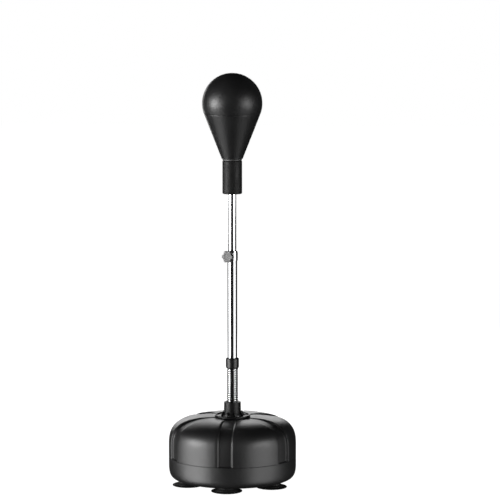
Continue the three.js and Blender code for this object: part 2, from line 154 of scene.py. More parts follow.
drum_low, drum_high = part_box("base_tank")
DRUM_RADIUS = drum_high.x
DRUM_TOP = drum_high.z
DRUM_FOOT = drum_low.z
FOOT_RADIUS = 165 * mm
FOOT_EDGE_TOP = 62 * mm
FOOT_ROUNDNESS = 3.3
SHOULDER_START = 113 * mm
SHOULDER_ROUNDNESS = 3.1
LANDING_RADIUS = 56.4 * mm
PARTING_LINE = 80.7 * mm
PARTING_GROOVE = 0.8 * mm
CHANNELS = 6
CHANNEL_DEPTH = 6 * mm
CHANNEL_DEPTH_ON_TOP = 1.8 * mm
CHANNEL_HALF_WIDTH = 21.5 * mm
CHANNEL_HALF_WIDTH_AT_LANDING = 14 * mm
CHANNEL_WALL_RUN = 5 * mm
CHANNEL_START = 50 * mm
CHANNEL_FULL_DEPTH = 170 * mm
CHANNEL_FULL_WIDTH = 111 * mm
FILLER_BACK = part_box("fill_cap")[0].y / 2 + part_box("fill_cap")[1].y / 2
FILLER_BORE = 12.3 * mm


class Finish:
    """A material in the making: add() makes a node, gives it values and wires its inputs."""

    def __init__(self, name, colour, roughness, metallic=0.0):
        self.material = bpy.data.materials.new(name)
        self.material.use_nodes = True
        self.tree = self.material.node_tree
        self.shader = self.tree.nodes["Principled BSDF"]
        self.shader.inputs["Base Color"].default_value = (*colour, 1.0)
        self.shader.inputs["Roughness"].default_value = roughness
        self.shader.inputs["Metallic"].default_value = metallic
        self.place = self.add("TexCoord", {}).outputs["Object"]

    def add(self, kind, inputs, **settings):
        node = self.tree.nodes.new("ShaderNode" + kind)
        for name, value in settings.items():
            setattr(node, name, value)
        for name, value in inputs.items():
            if isinstance(value, bpy.types.NodeSocket):
                self.tree.links.new(value, node.inputs[name])
            else:
                node.inputs[name].default_value = value
        return node

    def noise(self, scale, detail=2.0, stretch=None):
        """Smooth random values, 0 to 1, that change over 1/scale metres; stretch scales each axis."""
        place = self.place
        if stretch:
            place = self.add("Mapping", {"Vector": place, "Scale": stretch}).outputs["Vector"]
        sizes = {"Vector": place, "Scale": scale, "Detail": detail}
        return self.add("TexNoise", sizes).outputs["Fac"]

    def between(self, value, low, high, start=0.0, end=1.0):
        """Carries value from start..end over to low..high."""
        ends = {"Value": value, "From Min": start, "From Max": end, "To Min": low, "To Max": high}
        return self.add("MapRange", ends).outputs["Result"]

    def blended(self, amount, first, second):
        """One colour going over to another as amount goes from 0 to 1."""
        node = self.add("Mix", {}, data_type="RGBA")
        self.tree.links.new(amount, node.inputs["Factor"])
        for socket, colour in zip((node.inputs[6], node.inputs[7]), (first, second)):
            socket.default_value = (*colour, 1.0)
        return node.outputs[2]

    def wear(self, socket, value):
        """Wires a pattern to one of the shader's own inputs."""
        self.tree.links.new(value, self.shader.inputs[socket])

    def relief(self, *layers):
        """Raises the surface by patterns, each given as (pattern, height in metres)."""
        normal = None
        for pattern, height in layers:
            inputs = {"Height": pattern, "Distance": height, "Strength": 1.0}
            if normal:
                inputs["Normal"] = normal
            normal = self.add("Bump", inputs).outputs["Normal"]
        self.wear("Normal", normal)


def smoothed(mesh, sharp=40.0):
    """Shades a mesh smooth except at edges sharper than an angle."""
    mesh.shade_smooth()
    mesh.set_sharp_from_angle(angle=radians(sharp))


def piece(name, vertices, faces, material, sharp=40.0):
    """A mesh object from its corners and faces."""
    mesh = bpy.data.meshes.new(name)
    mesh.from_pydata([tuple(v) for v in vertices], [], faces)
    mesh.materials.append(material)
    smoothed(mesh, sharp)
    obj = bpy.data.objects.new(name, mesh)
    bpy.context.scene.collection.objects.link(obj)
    return obj


def plain_copy(obj):
    """Applies an object's live modifiers, so that only a plain mesh is left."""
    ready = bpy.data.meshes.new_from_object(obj.evaluated_get(bpy.context.evaluated_depsgraph_get()))
    obj.modifiers.clear()
    obj.data = ready
    return obj


def evenly(path, spacing):
    """The same path, resampled at even steps no longer than spacing."""
    path = np.array(path)
    along = np.concatenate([[0.0], np.cumsum(np.hypot(*np.diff(path, axis=0).T))])
    wanted = np.linspace(0.0, along[-1], ceil(along[-1] / spacing) + 1)
    return [(np.interp(s, along, path[:, 0]), np.interp(s, along, path[:, 1])) for s in wanted]


def rounded_stretch(start, end, roundness):
    """A quarter of a superellipse that leaves start sideways and reaches end upright."""
    turn = np.linspace(0.0, pi / 2, 400)
    out = start[0] + (end[0] - start[0]) * np.sin(turn) ** (2 / roundness)
    up = start[1] + (end[1] - start[1]) * (1 - np.cos(turn) ** (2 / roundness))
    return list(zip(out, up))


def drum_path():
    """The drum's outline from the middle of its foot up to the middle of its top."""
    foot = evenly(rounded_stretch((FOOT_RADIUS, DRUM_FOOT), (DRUM_RADIUS, FOOT_EDGE_TOP),
                                  FOOT_ROUNDNESS), 3 * mm)
    shoulder = evenly(rounded_stretch((LANDING_RADIUS, DRUM_TOP), (DRUM_RADIUS, SHOULDER_START),
                                      SHOULDER_ROUNDNESS), 3 * mm)
    near_line = [-6, -3, -1.6, -1.1, -0.7, -0.35, 0, 0.35, 0.7, 1.1, 1.7, 2.4, 3.2, 5, 9, 15, 22]
    wall = [(DRUM_RADIUS, PARTING_LINE + step * mm) for step in near_line]
    under = [(r * mm, DRUM_FOOT) for r in (20, 60, 100, 135, 155)]
    landing = [(r * mm, DRUM_TOP) for r in (50, 40, 25, 12)]
    return under + foot + wall + shoulder[::-1] + landing


def eased(x, start, end):
    """0 before start, 1 after end and smooth between them."""
    t = min(max((x - start) / (end - start), 0.0), 1.0)
    return t * t * (3 - 2 * t)


def channel_half_width(r):
    share = eased(r, CHANNEL_START, CHANNEL_FULL_WIDTH)
    return CHANNEL_HALF_WIDTH_AT_LANDING + (CHANNEL_HALF_WIDTH - CHANNEL_HALF_WIDTH_AT_LANDING) * share


def drum_shell(material):
    path = drum_path()
    floor_columns, wall_columns, panel_columns = 5, 8, 10
    vertices = []
    for i, (r, z) in enumerate(path):
        before, after = path[max(i - 1, 0)], path[min(i + 1, len(path) - 1)]
        tangent = Vector((after[0] - before[0], after[1] - before[1])).normalized()
        outward = Vector((tangent.y, -tangent.x))
        on_top = z > PARTING_LINE
        depth = CHANNEL_DEPTH * eased(z, PARTING_LINE, PARTING_LINE + 2.4 * mm)
        if z > SHOULDER_START:
            shallow = CHANNEL_DEPTH_ON_TOP / CHANNEL_DEPTH
            depth *= shallow + (1 - shallow) * eased(r, LANDING_RADIUS, CHANNEL_FULL_DEPTH)
            depth *= eased(r, CHANNEL_START - 4 * mm, CHANNEL_START + 2 * mm)
        groove = PARTING_GROOVE * (1 - eased(abs(z - PARTING_LINE), 0.2 * mm, 1.2 * mm))
        reach = max(r, CHANNEL_START) if on_top else DRUM_RADIUS
        middle = channel_half_width(reach)
        inner = asin((middle - CHANNEL_WALL_RUN / 2) / reach)
        outer = asin((middle + CHANNEL_WALL_RUN / 2) / reach)
        half = pi / CHANNELS
        angles = [inner * k / floor_columns for k in range(floor_columns)]
        angles += [inner + (outer - inner) * k / wall_columns for k in range(wall_columns)]
        angles += [outer + (half - outer) * k / panel_columns for k in range(panel_columns + 1)]
        sector = [-a for a in angles[:0:-1]] + angles[:-1]
        for channel in range(CHANNELS):
            for angle in sector:
                share = 1 - eased(abs(angle), inner, outer)
                inset = max(depth * share, groove)
                turn = angle + channel * 2 * half - pi / 2
                ring = r - outward.x * inset
                vertices.append((ring * cos(turn), ring * sin(turn), z - outward.y * inset))
    columns = CHANNELS * 2 * (floor_columns + wall_columns + panel_columns)
    faces = []
    for row in range(len(path) - 1):
        for column in range(columns):
            beside = (column + 1) % columns
            a, b = row * columns + column, row * columns + beside
            faces.append((a, b, b + columns, a + columns))
    faces.append(tuple(range(columns))[::-1])
    faces.append(tuple(range((len(path) - 1) * columns, len(path) * columns)))
    return piece("drum", vertices, faces, material)


def moulded_plastic():
    """Black polyethylene: satin, with the faint orange peel and flow marks of a blown tank."""
    finish = Finish("drum_plastic", (0.005, 0.005, 0.0052), 0.42)
    cloudy = finish.noise(9.0, 4.0)
    finish.wear("Base Color", finish.blended(cloudy, (0.004, 0.004, 0.0042), (0.007, 0.007, 0.0072)))
    finish.wear("Roughness", finish.between(cloudy, 0.36, 0.46, 0.3, 0.7))
    finish.shader.inputs["Specular IOR Level"].default_value = 0.7
    finish.relief((finish.noise(300.0, 3.0), 0.00014), (finish.noise(30.0, 2.0), 0.0002))
    return finish.material


def bored(obj, cutter):
    """Cuts one object out of another and throws the cutter away."""
    cut = obj.modifiers.new("bore", "BOOLEAN")
    cut.object = cutter
    cut.solver = "EXACT"
    plain_copy(obj)
    bpy.data.objects.remove(cutter)
    return obj


def turned(name, outline, material, segments=96, centre=(0.0, 0.0)):
    """A closed solid of revolution about an upright axis. Its outline of (radius, height) runs up
    the outside, and goes from the axis to the axis or closes on itself."""
    ring_count = len(outline)
    on_axis = [radius < 1e-7 for radius, _ in outline]
    vertices, first = [], []
    for (radius, height), pole in zip(outline, on_axis):
        first.append(len(vertices))
        for k in range(1 if pole else segments):
            turn = 2 * pi * k / segments
            vertices.append((centre[0] + radius * cos(turn), centre[1] + radius * sin(turn), height))
    faces = []
    for i in range(ring_count if not on_axis[0] else ring_count - 1):
        j = (i + 1) % ring_count
        for k in range(segments):
            beside = (k + 1) % segments
            low, high = first[i], first[j]
            face = [low] if on_axis[i] else [low + k, low + beside]
            face += [high] if on_axis[j] else [high + beside, high + k]
            faces.append(tuple(face))
    return piece(name, vertices, faces, material)


drum_plastic = moulded_plastic()
drum = drum_shell(drum_plastic)
filler_bore = turned("filler_bore", [(0, 170 * mm), (FILLER_BORE, 170 * mm), (FILLER_BORE, 230 * mm),
                                     (0, 230 * mm)], drum_plastic, 48, (0, FILLER_BACK))
bored(drum, filler_bore)
smoothed(drum.data)
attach(drum, "base")
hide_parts("base_tank")


# --- Filler ---------------------------------------------------------------------------------------
# Behind the hub a short moulded neck stands up out of the rear channel. A ribbed screw cap with a
# coin slot closes it against a rubber washer.

NECK_RADIUS = 17 * mm
NECK_TOP = 203.5 * mm
NECK_FOOT = 190 * mm
cap_low, cap_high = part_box("fill_cap")
seal_low, seal_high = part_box("cap_gasket")
CAP_RADIUS = cap_high.x
CAP_PLUG = 12 * mm
CAP_PLUG_RADIUS = 11.8 * mm
COIN_SLOT = (20 * mm, 2.6 * mm, 3.4 * mm)
CAP_RIBS = 24
CAP_RIB_RADIUS = 0.7 * mm


def softened(corners, steps=4):
    """An outline whose corners are (radius, height, rounding): each is turned into a small arc, with
    a point just past both of its ends that keeps the straight runs straight when shaded."""
    outline = []
    count = len(corners)
    for i, corner_point in enumerate(corners):
        here = Vector(corner_point[:2])
        rounding = corner_point[2] if len(corner_point) > 2 else 0.0
        if not rounding:
            outline.append(tuple(here))
            continue
        back = Vector(corners[i - 1][:2]) - here
        ahead = Vector(corners[(i + 1) % count][:2]) - here
        half = back.angle(ahead) / 2
        reach = min(rounding / tan(half), 0.45 * back.length, 0.45 * ahead.length)
        back.normalize()
        ahead.normalize()
        rounding = reach * tan(half)
        middle = here + (back + ahead).normalized() * (rounding / sin(half))
        first, last = here + back * reach - middle, here + ahead * reach - middle
        sweep = first.angle_signed(last)
        outline.append(tuple(here + back * reach * 1.08))
        for k in range(steps + 1):
            spoke = Matrix.Rotation(-sweep * k / steps, 2) @ first
            outline.append(tuple(middle + spoke))
        outline.append(tuple(here + ahead * reach * 1.08))
    return outline


class Growth:
    """A geometry-node tree in the making, with named inputs for its sizes."""

    def __init__(self, name, **inputs):
        self.tree = bpy.data.node_groups.new(name, "GeometryNodeTree")
        self.values = {}
        for label, value in inputs.items():
            kind = {int: "Int", float: "Float", bpy.types.Material: "Material",
                    bpy.types.Object: "Object"}[type(value)]
            socket = self.tree.interface.new_socket(label, in_out="INPUT", socket_type="NodeSocket" + kind)
            self.values[socket.identifier] = value
        self.tree.interface.new_socket("Shape", in_out="OUTPUT", socket_type="NodeSocketGeometry")
        self.sizes = self.tree.nodes.new("NodeGroupInput").outputs
        self.end = self.tree.nodes.new("NodeGroupOutput").inputs

    def add(self, kind, inputs, **settings):
        node = self.tree.nodes.new(kind)
        for name, value in settings.items():
            setattr(node, name, value)
        for name, value in inputs.items():
            if isinstance(value, bpy.types.NodeSocket):
                self.tree.links.new(value, node.inputs[name])
            else:
                node.inputs[name].default_value = value
        return node.outputs

    def maths(self, operation, first, second=0.0):
        return self.add("ShaderNodeMath", {0: first, 1: second}, operation=operation)["Value"]

    def vector(self, x=0.0, y=0.0, z=0.0):
        return self.add("ShaderNodeCombineXYZ", {"X": x, "Y": y, "Z": z})["Vector"]

    def ring_of(self, shape, count, radius, height=0.0, turn=0.0):
        """Copies of a shape round an upright axis, each turned to face outwards along its own X."""
        points = self.add("GeometryNodeMeshCircle", {"Vertices": count, "Radius": radius})["Mesh"]
        spacing = self.maths("DIVIDE", 2 * pi, count)
        index = self.add("GeometryNodeInputIndex", {})["Index"]
        facing = self.vector(z=self.maths("MULTIPLY", index, spacing))
        copies = self.add("GeometryNodeInstanceOnPoints",
                          {"Points": points, "Instance": shape, "Rotation": facing})["Instances"]
        return self.add("GeometryNodeTransform", {"Geometry": copies, "Translation": self.vector(z=height),
                                                  "Rotation": (0.0, 0.0, turn)})["Geometry"]

    def joined(self, *shapes):
        node = self.tree.nodes.new("GeometryNodeJoinGeometry")
        for shape in shapes:
            self.tree.links.new(shape, node.inputs["Geometry"])
        return node.outputs["Geometry"]

    def grown(self, name, shape, material, sharp=40.0):
        """Ends the tree and runs it once: the result is a plain mesh object."""
        loose = self.add("GeometryNodeRealizeInstances", {"Geometry": shape})["Geometry"]
        finished = self.add("GeometryNodeSetMaterial",
                            {"Geometry": loose, "Material": material})["Geometry"]
        self.tree.links.new(finished, self.end["Shape"])
        obj = bpy.data.objects.new(name, bpy.data.meshes.new(name))
        bpy.context.scene.collection.objects.link(obj)
        run = obj.modifiers.new("growth", "NODES")
        run.node_group = self.tree
        for identifier, value in self.values.items():
            run[identifier] = value
        plain_copy(obj)
        smoothed(obj.data, sharp)
        return obj


def cap_ribs(cap, radius, low, high, material):
    """Upright half-round ribs round the cap's rim, for the fingers."""
    tree = Growth("cap_ribs", **{"Ribs": CAP_RIBS, "Rib radius": CAP_RIB_RADIUS, "Cap radius": radius,
                                 "Rib height": high - low, "Cap": cap})
    sizes = tree.sizes
    rib = tree.add("GeometryNodeMeshCylinder", {"Vertices": 10, "Radius": sizes["Rib radius"],
                                                "Depth": sizes["Rib height"]})["Mesh"]
    ring = tree.ring_of(rib, sizes["Ribs"], sizes["Cap radius"], (low + high) / 2)
    placed = tree.add("GeometryNodeTransform",
                      {"Geometry": ring, "Translation": (0.0, FILLER_BACK, 0.0)})["Geometry"]
    own = tree.add("GeometryNodeObjectInfo", {"Object": sizes["Cap"]})["Geometry"]
    return tree.grown("fill_cap_moulding", tree.joined(own, placed), material)


def smooth_black_plastic(name="glossy_black_plastic", roughness=0.24, shine=0.5):
    """Injection-moulded black plastic with a polished surface and hair-fine handling marks."""
    finish = Finish(name, (0.004, 0.004, 0.0042), roughness)
    finish.shader.inputs["Specular IOR Level"].default_value = shine
    patches = finish.noise(60.0, 3.0)
    finish.wear("Roughness", finish.between(patches, roughness - 0.05, roughness + 0.09, 0.3, 0.7))
    finish.relief((finish.noise(900.0, 2.0), 0.000005), (finish.noise(2500.0, 1.0, (1, 1, 0.05)), 0.000002))
    return finish.material


def soft_rubber():
    """Black moulded rubber, matt, with a grey bloom in patches and a fine pebbled surface."""
    finish = Finish("black_rubber", (0.008, 0.008, 0.008), 0.62)
    bloom = finish.noise(25.0, 5.0)
    finish.wear("Base Color", finish.blended(finish.between(bloom, 0.0, 1.0, 0.45, 0.75),
                                             (0.003, 0.003, 0.003), (0.008, 0.008, 0.008)))
    finish.wear("Roughness", finish.between(bloom, 0.52, 0.75, 0.3, 0.7))
    finish.relief((finish.noise(1500.0, 2.0), 0.00003))
    return finish.material


black_plastic = smooth_black_plastic()
black_rubber = soft_rubber()

neck = turned("filler_neck", softened([
    (FILLER_BORE, NECK_FOOT), (NECK_RADIUS + 2 * mm, NECK_FOOT), (NECK_RADIUS, NECK_TOP - 3 * mm, 2 * mm),
    (NECK_RADIUS, NECK_TOP, 0.8 * mm), (FILLER_BORE, NECK_TOP, 0.6 * mm)]), drum_plastic, 64,
    (0, FILLER_BACK))
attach(neck, "base")

cap_bottom = cap_low.z + CAP_PLUG + 1.6 * mm
cap_body = turned("fill_cap_body", softened([
    (0, cap_low.z), (CAP_PLUG_RADIUS - 0.8 * mm, cap_low.z, 0.6 * mm),
    (CAP_PLUG_RADIUS, cap_low.z + 2 * mm), (CAP_PLUG_RADIUS, cap_bottom),
    (CAP_RADIUS - 0.4 * mm, cap_bottom, 0.4 * mm), (CAP_RADIUS - 0.4 * mm, cap_high.z, 1.6 * mm),
    (8 * mm, cap_high.z), (0, cap_high.z)]), black_plastic, 72, (0, FILLER_BACK))
coin_slot = bpy.data.meshes.new("coin_slot")
slot_box = bmesh.new()
bmesh.ops.create_cube(slot_box, size=1.0, matrix=Matrix.Translation((0, FILLER_BACK, cap_high.z))
                      @ Matrix.Diagonal((*COIN_SLOT, 1)))
slot_box.to_mesh(coin_slot)
slot_box.free()
slot_cutter = bpy.data.objects.new("coin_slot", coin_slot)
bpy.context.scene.collection.objects.link(slot_cutter)
bored(cap_body, slot_cutter)
smoothed(cap_body.data)
cap = cap_ribs(cap_body, CAP_RADIUS - 0.5 * mm, cap_bottom + 0.6 * mm, cap_high.z - 1.8 * mm, black_plastic)
bpy.data.objects.remove(cap_body)
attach(cap, "filler_cap")
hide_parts("fill_cap")

seal = turned("filler_washer", softened([
    (FILLER_BORE, seal_low.z, 0.4 * mm), (seal_high.x, seal_low.z, 0.6 * mm),
    (seal_high.x, seal_high.z, 0.6 * mm), (FILLER_BORE, seal_high.z, 0.4 * mm)]), black_rubber, 64,
    (0, FILLER_BACK))
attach(seal, "filler_seal")
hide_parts("cap_gasket")


# --- Suction cups ---------------------------------------------------------------------------------
# Six moulded rubber cups under the drum, one below each channel. Each has a thin lip that grips the
# floor, ribs on its back and a neck; a zinc-plated stud screws it to the drum's foot.

cup_low, cup_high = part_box("suction_cup_1")
CUP_RING = -(cup_low.y + cup_high.y) / 2
CUP_LIP = (cup_high.y - cup_low.y) / 2
CUP_TOP = cup_high.z
CUP_NECK = 28 * mm


def suction_cup(material):
    """One cup on the pole's axis, lip on the floor."""
    return turned("one_cup", softened([
        (0, 6.6 * mm), (20 * mm, 6.0 * mm, 6 * mm), (38 * mm, 1.6 * mm, 6 * mm), (CUP_LIP - 5 * mm, 0),
        (CUP_LIP, 0, 0.5 * mm), (CUP_LIP, 1.3 * mm, 0.5 * mm), (41 * mm, 3.4 * mm, 3 * mm),
        (36.5 * mm, 4.3 * mm, 0.8 * mm), (36 * mm, 5.6 * mm, 0.8 * mm),
        (CUP_NECK + 4 * mm, 6.4 * mm, 2 * mm),
        (CUP_NECK, CUP_TOP - 2 * mm, 2 * mm), (CUP_NECK, CUP_TOP, 0.6 * mm), (0, CUP_TOP)]), material, 72)


one_cup = suction_cup(black_rubber)
ring_of_cups = Growth("ring_of_cups", **{"Cups": CHANNELS, "Ring radius": CUP_RING, "Cup": one_cup})
cup_shape = ring_of_cups.add("GeometryNodeObjectInfo", {"Object": ring_of_cups.sizes["Cup"]})["Geometry"]
cups = ring_of_cups.grown("suction_cups", ring_of_cups.ring_of(
    cup_shape, ring_of_cups.sizes["Cups"], ring_of_cups.sizes["Ring radius"], turn=-pi / 2), black_rubber)
bpy.data.objects.remove(one_cup)
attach(cups, "base")
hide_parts(*[f"suction_cup_{i + 1}" for i in range(CHANNELS)])


def zinc_plate():
    """Zinc plating on turned steel: pale grey, softly brushed round the part."""
    finish = Finish("zinc_plate", (0.52, 0.53, 0.54), 0.34, 1.0)
    finish.wear("Roughness", finish.between(finish.noise(90.0, 4.0), 0.26, 0.44, 0.3, 0.7))
    finish.relief((finish.noise(1200.0, 2.0, (1, 1, 0.1)), 0.00001))
    return finish.material


def give_finish(material, *nodes):
    """Puts a finish on solids that stay as they are in the CAD."""
    for node in nodes:
        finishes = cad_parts[node].data.materials
        finishes.clear()
        finishes.append(material)


zinc = zinc_plate()
give_finish(zinc, *[f"cup_stud_{i + 1}" for i in range(CHANNELS)])


# --- Hub ------------------------------------------------------------------------------------------
# A black moulded flange on top of the drum, with a rolled rim, a shallow dish and a deep cup that
# the spring stands in. Gussets brace the cup, and four zinc-plated screws hold the flange down.

hub_low, hub_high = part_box("hub_socket")
FLANGE_RADIUS = hub_high.x
FLANGE_UNDER = hub_low.z
FLANGE_RIM_TOP = 211 * mm
DISH_LEVEL = 207.6 * mm
DISH_RADIUS = 50.5 * mm
STEP_RADIUS = 33.1 * mm
STEP_TOP = 213.5 * mm
HUB_FOOT_RADIUS = 26.8 * mm
HUB_RADIUS = 26 * mm
HUB_TOP = hub_high.z
SOCKET_RADIUS = 18.5 * mm
SOCKET_FLOOR = 219 * mm
BOLT_BORE = 4.3 * mm
GUSSETS = 8
GUSSET_TOP = 221.6 * mm
SCREW_RING = 43 * mm

satin_plastic = smooth_black_plastic("satin_black_plastic", 0.38, 0.28)
hub = turned("hub_moulding", softened([
    (BOLT_BORE, FLANGE_UNDER), (FLANGE_RADIUS, FLANGE_UNDER, 2 * mm),
    (FLANGE_RADIUS, FLANGE_RIM_TOP, 2.4 * mm),
    (DISH_RADIUS + 0.6 * mm, FLANGE_RIM_TOP, 1.6 * mm), (DISH_RADIUS - 0.8 * mm, DISH_LEVEL, 1.2 * mm),
    (STEP_RADIUS, DISH_LEVEL, 0.8 * mm), (STEP_RADIUS - 1 * mm, STEP_TOP, 1.0 * mm),
    (HUB_FOOT_RADIUS, STEP_TOP, 0.8 * mm), (HUB_RADIUS, HUB_TOP, 1.2 * mm),
    (SOCKET_RADIUS + 1.2 * mm, HUB_TOP, 0.5 * mm), (SOCKET_RADIUS, HUB_TOP - 1.6 * mm),
    (SOCKET_RADIUS, SOCKET_FLOOR), (BOLT_BORE, SOCKET_FLOOR)]), satin_plastic, 128)
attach(hub, "base")
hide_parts("hub_socket")


def gusset(material):
    """One web between hub and dish: a small upright plate with a sloping back, seen from the side."""
    near, far, thick = 25 * mm, 37 * mm, 1.6 * mm
    side = [(near, DISH_LEVEL - 1 * mm), (far, DISH_LEVEL - 1 * mm), (far, DISH_LEVEL + 1.2 * mm),
            (STEP_RADIUS + 1 * mm, GUSSET_TOP - 2 * mm), (STEP_RADIUS - 1 * mm, GUSSET_TOP),
            (near, GUSSET_TOP)]
    count = len(side)
    vertices = [(x, y, z) for y in (-thick, thick) for x, z in side]
    faces = [tuple(range(count)), tuple(range(count, 2 * count))[::-1]]
    faces += [(k, k + count, (k + 1) % count + count, (k + 1) % count) for k in range(count)]
    web = piece("one_gusset", vertices, faces, material)
    round_edges = web.modifiers.new("round_edges", "BEVEL")
    round_edges.width = 0.6 * mm
    round_edges.segments = 3
    return plain_copy(web)


one_gusset = gusset(satin_plastic)
ring_of_webs = Growth("ring_of_webs", **{"Gussets": GUSSETS, "Web": one_gusset})
web_shape = ring_of_webs.add("GeometryNodeObjectInfo", {"Object": ring_of_webs.sizes["Web"]})["Geometry"]
webs = ring_of_webs.grown("hub_gussets", ring_of_webs.ring_of(
    web_shape, ring_of_webs.sizes["Gussets"], 0.0001 * mm, turn=pi / GUSSETS), satin_plastic)
bpy.data.objects.remove(one_gusset)
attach(webs, "base")


def flange_screws(material):
    """Four pan-head screws with a cross recess, in the dish between the gussets."""
    tree = Growth("flange_screws", **{"Screws": 4, "Ring radius": SCREW_RING, "Head radius": 4.8 * mm,
                                      "Head height": 2.8 * mm, "Recess": 1.0 * mm})
    sizes = tree.sizes
    dome = tree.add("GeometryNodeMeshUVSphere", {"Segments": 32, "Rings": 16,
                                                 "Radius": sizes["Head radius"]})["Mesh"]
    squash = tree.maths("DIVIDE", sizes["Head height"], sizes["Head radius"])
    head = tree.add("GeometryNodeTransform",
                    {"Geometry": dome, "Scale": tree.vector(1.0, 1.0, squash)})["Geometry"]
    arm = [tree.add("GeometryNodeTransform", {
        "Geometry": tree.add("GeometryNodeMeshCube", {"Size": tree.vector(*size)})["Mesh"],
        "Translation": tree.vector(z=sizes["Head height"])})["Geometry"]
        for size in ((5.2 * mm, 0.9 * mm, 2.4 * mm), (0.9 * mm, 5.2 * mm, 2.4 * mm))]
    cross = tree.add("GeometryNodeMeshBoolean", {"Mesh 1": head}, operation="DIFFERENCE", solver="EXACT")
    boolean = cross["Mesh"].node
    for one in arm:
        tree.tree.links.new(one, boolean.inputs["Mesh 2"])
    ring = tree.ring_of(cross["Mesh"], sizes["Screws"], sizes["Ring radius"],
                        DISH_LEVEL + 0.2 * mm, -pi / 3)
    return tree.grown("flange_screws", ring, material)


screws = flange_screws(zinc)
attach(screws, "base")
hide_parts("hub_screw_1", "hub_screw_2", "hub_screw_3", "hub_screw_4")

give_finish(zinc, "plug_bolt")


# --- Spring ---------------------------------------------------------------------------------------
# A close-wound chrome-plated spring. It stands in the hub's cup, is held there by a black steel plug
# and a bolt from below, and carries the pole on a second plug in the collar.

spring_low, spring_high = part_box("spring")
WIRE = 6.2 * mm
COIL_RADIUS = spring_high.x - WIRE / 2
COIL_PITCH = 6.95 * mm
collar_low, collar_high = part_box("spring_collar")
SPRING_MIDDLE = (HUB_TOP + collar_low.z) / 2


def chrome_plate(name, roughness, streaks=(1, 1, 1), colour=(0.62, 0.63, 0.64)):
    """Bright chrome on steel, with faint polishing streaks and a few soft smudges."""
    finish = Finish(name, colour, roughness, 1.0)
    smudges = finish.noise(14.0, 4.0)
    finish.wear("Roughness", finish.between(smudges, roughness, roughness + 0.07, 0.45, 0.8))
    finish.relief((finish.noise(1800.0, 2.0, streaks), 0.0000005))
    return finish.material


def coils(name, start_turn, turns, material):
    """Part of the spring, from one turn to another, with cut ends."""
    tree = Growth(name, **{"Start turn": start_turn, "Turns": turns, "Coil radius": COIL_RADIUS,
                           "Pitch": COIL_PITCH, "Wire radius": WIRE / 2, "Foot": spring_low.z + WIRE / 2})
    sizes = tree.sizes
    rise = tree.maths("MULTIPLY", sizes["Turns"], sizes["Pitch"])
    line = tree.add("GeometryNodeCurveSpiral", {
        "Resolution": 48, "Rotations": sizes["Turns"], "Start Radius": sizes["Coil radius"],
        "End Radius": sizes["Coil radius"], "Height": rise, "Reverse": True})["Curve"]
    section = tree.add("GeometryNodeCurvePrimitiveCircle",
                       {"Resolution": 14, "Radius": sizes["Wire radius"]})["Curve"]
    wire = tree.add("GeometryNodeCurveToMesh",
                    {"Curve": line, "Profile Curve": section, "Fill Caps": True})["Mesh"]
    start = tree.maths("MULTIPLY", sizes["Start turn"], sizes["Pitch"])
    placed = tree.add("GeometryNodeTransform", {
        "Geometry": wire, "Translation": tree.vector(z=tree.maths("ADD", start, sizes["Foot"])),
        "Rotation": tree.vector(z=tree.maths("MULTIPLY", sizes["Start turn"], 2 * pi))})["Geometry"]
    return tree.grown(name, placed, material)


def turned_outwards(obj):
    """Turns every face of a closed shape outwards."""
    shape = bmesh.new()
    shape.from_mesh(obj.data)
    bmesh.ops.recalc_face_normals(shape, faces=shape.faces)
    shape.to_mesh(obj.data)
    shape.free()
    return obj


spring_chrome = chrome_plate("spring_chrome", 0.08, colour=(0.44, 0.445, 0.45))
all_turns = (spring_high.z - spring_low.z - WIRE) / COIL_PITCH
lower_turns = (SPRING_MIDDLE - spring_low.z - WIRE / 2) / COIL_PITCH
lower_coils = turned_outwards(coils("spring_lower_coils", 0.0, lower_turns, spring_chrome))
upper_coils = turned_outwards(
    coils("spring_upper_coils", lower_turns, all_turns - lower_turns, spring_chrome))
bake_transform(lower_coils)
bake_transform(upper_coils)
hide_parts("spring")


def black_oxide():
    """Black-oxidised turned steel, slightly oily."""
    finish = Finish("black_oxide_steel", (0.030, 0.030, 0.033), 0.38, 0.7)
    finish.wear("Roughness", finish.between(finish.noise(70.0, 4.0), 0.30, 0.50, 0.3, 0.7))
    finish.relief((finish.noise(1500.0, 2.0, (1, 1, 0.1)), 0.00001))
    return finish.material


black_steel = black_oxide()
give_finish(black_steel, "lower_spring_plug", "upper_spring_plug")


# --- Spring collar --------------------------------------------------------------------------------
# The black moulded cup that closes over the spring's top end and grips the lower tube. A grub screw
# at the back pins it to the tube.

COLLAR_RADIUS = collar_high.x
COLLAR_CHAMFER = 3.5 * mm
TUBE_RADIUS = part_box("lower_tube")[1].x
COLLAR_STEP = 379.3 * mm
GRUB_BORE = 2.4 * mm

collar = turned("collar_moulding", softened([
    (SOCKET_RADIUS, collar_low.z, 0.4 * mm), (COLLAR_RADIUS - 2.6 * mm, collar_low.z, 0.8 * mm),
    (COLLAR_RADIUS, collar_low.z + COLLAR_CHAMFER, 1.2 * mm),
    (COLLAR_RADIUS, collar_high.z - COLLAR_CHAMFER, 1.2 * mm),
    (COLLAR_RADIUS - 2.8 * mm, collar_high.z, 0.8 * mm), (TUBE_RADIUS + 0.2 * mm, collar_high.z, 0.3 * mm),
    (TUBE_RADIUS + 0.2 * mm, COLLAR_STEP), (SOCKET_RADIUS, COLLAR_STEP)]), black_plastic, 96)
screw_low, screw_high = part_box("collar_screw")
screw_height = (screw_low.z + screw_high.z) / 2


def lying_rod(name, outline, material, height, away=0.0, round_pole=180.0, segments=40):
    """A turned shape laid on its side: its own axis points out from the pole, counted from -Y."""
    rod = turned(name, outline, material, segments)
    rod.data.transform(Matrix.Rotation(radians(round_pole), 4, "Z") @ Matrix.Translation((0, -away, height))
                       @ Matrix.Rotation(pi / 2, 4, "X"))
    return rod


